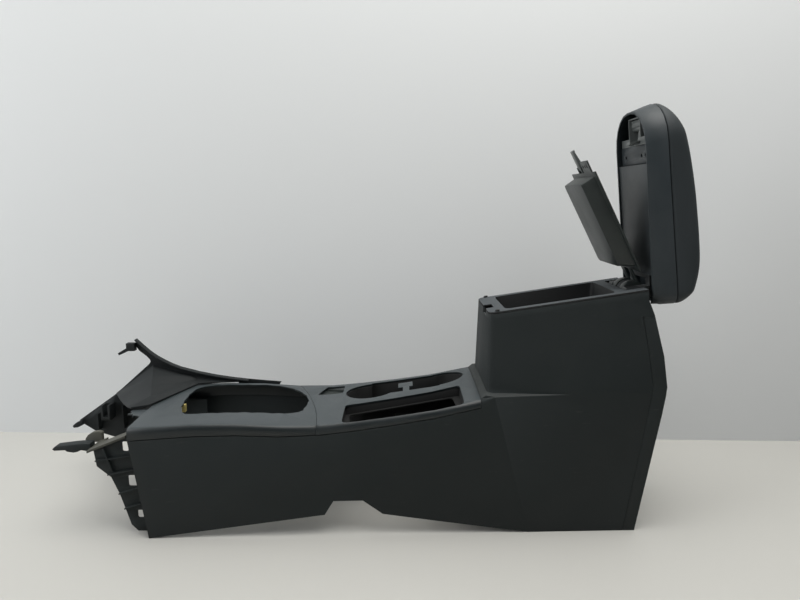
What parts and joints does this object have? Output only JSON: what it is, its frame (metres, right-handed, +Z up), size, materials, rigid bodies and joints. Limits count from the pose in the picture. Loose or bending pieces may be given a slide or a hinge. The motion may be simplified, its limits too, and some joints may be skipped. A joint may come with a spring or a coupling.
{
  "type": "car center console",
  "caption": "Car floor console with a gear lever opening, cup holders, a handbrake slot and a storage box under an armrest lid and an inner tray lid.",
  "frame": {"origin": "on the floor, in the middle of the overall length, on the centre plane", "axes": "+X to the car's rear, +Y to the passenger's side, +Z up"},
  "size_m": [1.0683, 0.2234, 0.6672],
  "materials": {
    "side_plastic": "grained",
    "deck_plastic": "grained, satin",
    "inner_plastic": "matt",
    "armrest_plastic": "fine grain",
    "liner_plastic": "smooth satin",
    "tray_plastic": "fine grain",
    "latch_plastic": "smooth",
    "brace_plastic": "raw",
    "armrest_cover": "soft grained cover",
    "dark_steel": "blackened",
    "zinc_steel": "zinc plated",
    "clip_steel": "yellow zinc plated",
    "rubber": "matt"
  },
  "bodies": {
    "root": {"main_body": "side_plastic", "rear_cover": "side_plastic", "front_deck": "deck_plastic", "mid_deck": "deck_plastic", "side_cover_right": "side_plastic", "front_carrier_left": "side_plastic", "front_carrier_right": "side_plastic", "front_brace": "brace_plastic", "front_locator": "side_plastic", "storage_bin": "side_plastic", "cup_holder_insert": "inner_plastic", "handbrake_slot_frame": "inner_plastic", "switch_blank": "tray_plastic", "opening_clip_front": "clip_steel", "opening_clip_rear": "clip_steel", "bump_stop_left": "rubber", "bump_stop_right": "rubber", "hinge_bracket": "dark_steel", "hinge_pin": "dark_steel", "hinge_spring": "dark_steel", "bracket_screw_1": "zinc_steel", "bracket_screw_2": "zinc_steel", "bracket_screw_3": "zinc_steel", "bracket_screw_4": "zinc_steel"},
    "armrest": {"armrest_shell": "armrest_plastic", "armrest_pad": "armrest_cover", "armrest_liner": "liner_plastic", "latch_cover_plate": "liner_plastic", "latch_housing": "latch_plastic", "armrest_latch_pin": "zinc_steel", "armrest_hinge_leaf": "dark_steel"},
    "armrest_lever": {"armrest_latch": "latch_plastic"},
    "inner_tray": {"tray": "tray_plastic", "tray_latch_pin": "zinc_steel"},
    "tray_lever": {"tray_latch": "latch_plastic"}
  },
  "joints": [
    {"name": "armrest_hinge", "type": "hinge", "parent": "root", "child": "armrest", "pos_m": [0.456, 0, 0.3745], "axis": [0, -1, 0], "range_deg": [0, 92]},
    {"name": "tray_hinge", "type": "hinge", "parent": "root", "child": "inner_tray", "pos_m": [0.456, 0, 0.3745], "axis": [0, -1, 0], "range_deg": [0, 71]},
    {"name": "armrest_latch_pivot", "type": "hinge", "parent": "armrest", "child": "armrest_lever", "pos_m": [0.45787, 0, 0.63242], "axis": [0, 1, 0], "range_deg": [0, 8], "stiffness_Nm_per_rad": 0.08, "springref_deg": -17.19},
    {"name": "tray_latch_pivot", "type": "hinge", "parent": "inner_tray", "child": "tray_lever", "pos_m": [0.3724, 0, 0.57002], "axis": [0, 1, 0], "range_deg": [0, 10], "stiffness_Nm_per_rad": 0.05, "springref_deg": -17.19}
  ],
  "couplings": [
    {"joint": "tray_hinge", "follows": "armrest_hinge", "ratio": 0.77174}
  ]
}
